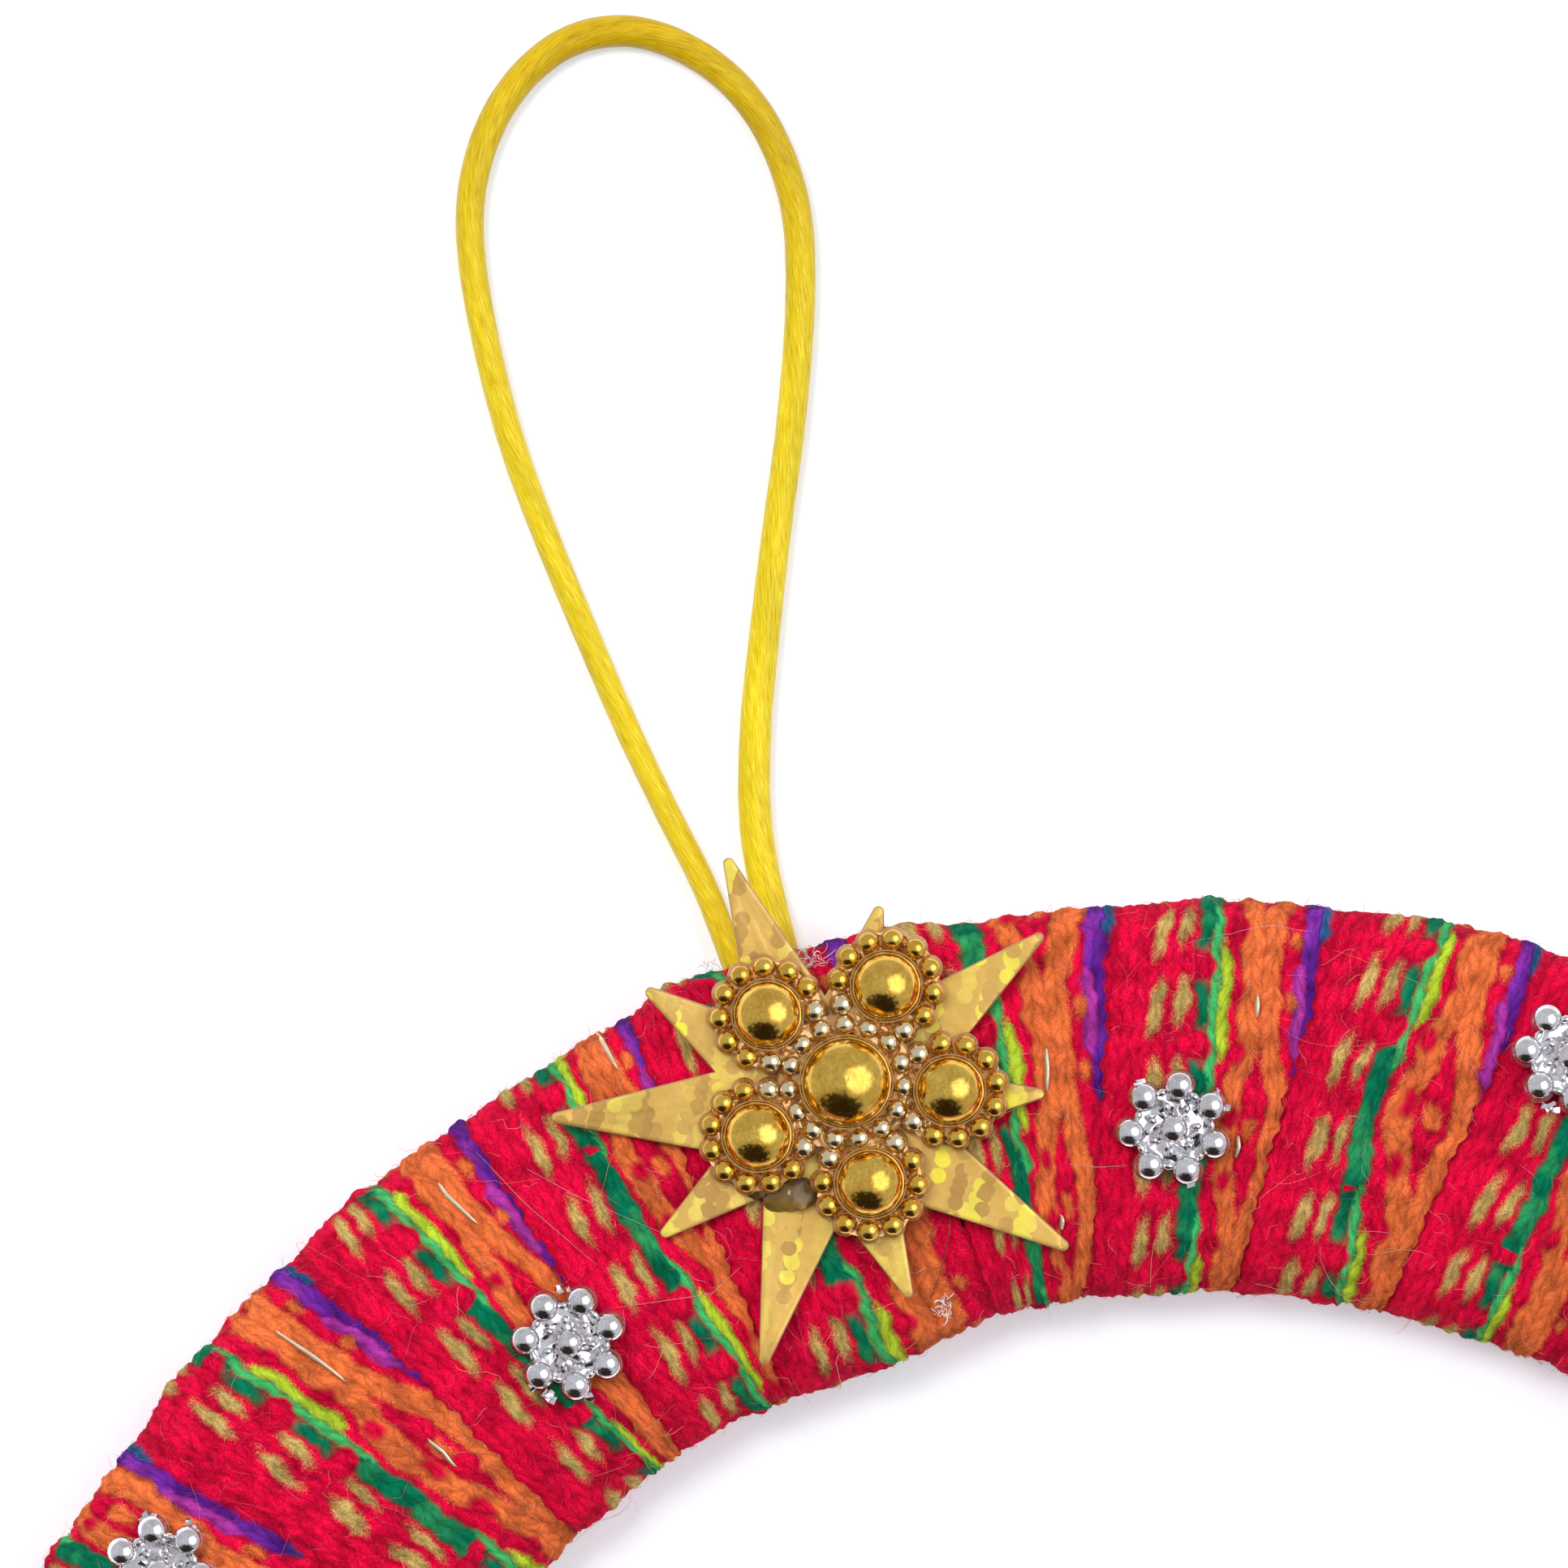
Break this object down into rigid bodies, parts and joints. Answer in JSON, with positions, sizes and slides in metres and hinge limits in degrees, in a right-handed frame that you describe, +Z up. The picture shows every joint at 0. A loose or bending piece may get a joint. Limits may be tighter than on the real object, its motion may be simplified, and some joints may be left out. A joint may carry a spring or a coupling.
{
  "type": "fabric-wrapped wreath ornament",
  "caption": "Flat padded ring wound with a striped woven strip, with a gold star and bead cluster at its top, small bead flowers round it and a satin cord loop to hang it by.",
  "frame": {"origin": "on the surface that the ornament lies on, under the middle of the box round the ring and its star, 4.3 mm from the ring's centre towards the star", "axes": "+Z up from the flat back through the decorated face, +Y from the ring's centre to the star and the loop, +X to the right of the face"},
  "size_m": [0.1764, 0.2419, 0.0146],
  "materials": {
    "woven_strip": "warp-faced woven strip in red, orange, green and purple, fuzzy",
    "gold_sheet": "glossy metallised sheet with round shimmering spots",
    "gold_beads": "gold-plated moulded plastic, mirror bright",
    "silver_beads": "silver-plated moulded plastic, mirror bright",
    "satin_cord": "braided satin cord with a soft sheen"
  },
  "bodies": {
    "root": {"wreath_ring": "woven_strip", "gold_star": "gold_sheet", "bead_cluster": "gold_beads", "hanging_cord": "satin_cord", "silver_flower_01": "silver_beads", "silver_flower_02": "silver_beads", "silver_flower_03": "silver_beads", "silver_flower_04": "silver_beads", "silver_flower_05": "silver_beads", "silver_flower_06": "silver_beads", "silver_flower_07": "silver_beads", "silver_flower_08": "silver_beads", "silver_flower_09": "silver_beads", "silver_flower_10": "silver_beads", "silver_flower_11": "silver_beads", "silver_flower_12": "silver_beads", "silver_flower_13": "silver_beads", "silver_flower_14": "silver_beads", "silver_flower_15": "silver_beads", "silver_flower_16": "silver_beads", "silver_flower_17": "silver_beads"}
  },
  "joints": []
}
